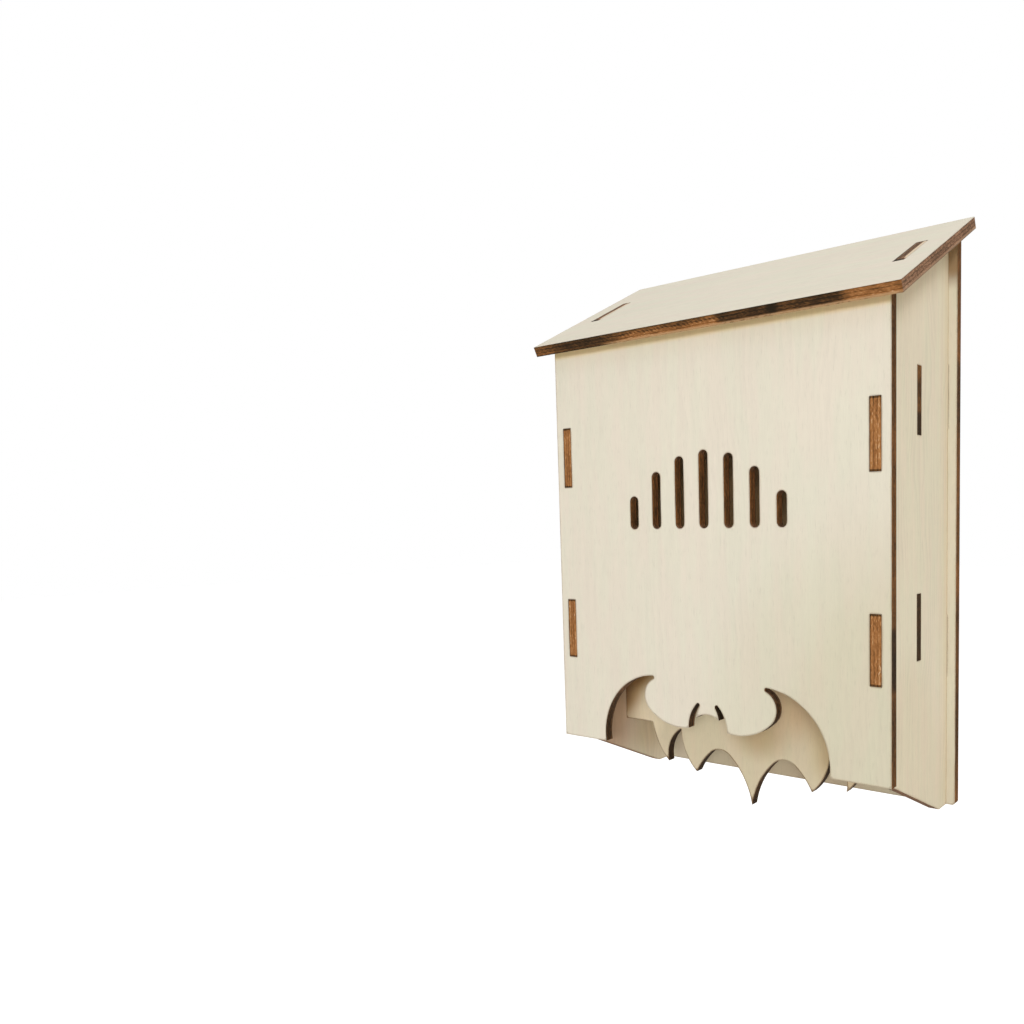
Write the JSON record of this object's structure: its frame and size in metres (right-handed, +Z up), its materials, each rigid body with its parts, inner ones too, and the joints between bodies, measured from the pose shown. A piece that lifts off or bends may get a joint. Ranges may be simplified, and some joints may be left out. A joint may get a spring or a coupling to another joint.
{
  "type": "bat box",
  "caption": "Wall-hung plywood roost for bats, slotted together from flat panels, with a sloping roof, two open-bottomed chambers and a bat-shaped way in.",
  "frame": {"origin": "on the back panel's rear face, which lies against the wall, on the centre line and level with the front panel's bottom edge", "axes": "+Z up, front faces -Y, +Y into the wall, +X to the right as seen from the front"},
  "size_m": [0.194, 0.0931, 0.2815],
  "materials": {
    "front_panel": "bare light plywood face, laser-browned edges",
    "back_panel": "bare light plywood face, laser-browned edges",
    "left_side": "bare light plywood face, laser-browned edges",
    "right_side": "bare light plywood face, laser-browned edges",
    "partition": "bare light plywood face, laser-browned edges",
    "roof": "bare light plywood face, laser-browned edges"
  },
  "bodies": {
    "root": {"front_panel": "front_panel", "back_panel": "back_panel", "left_side": "left_side", "right_side": "right_side", "partition": "partition", "roof": "roof"}
  },
  "joints": []
}
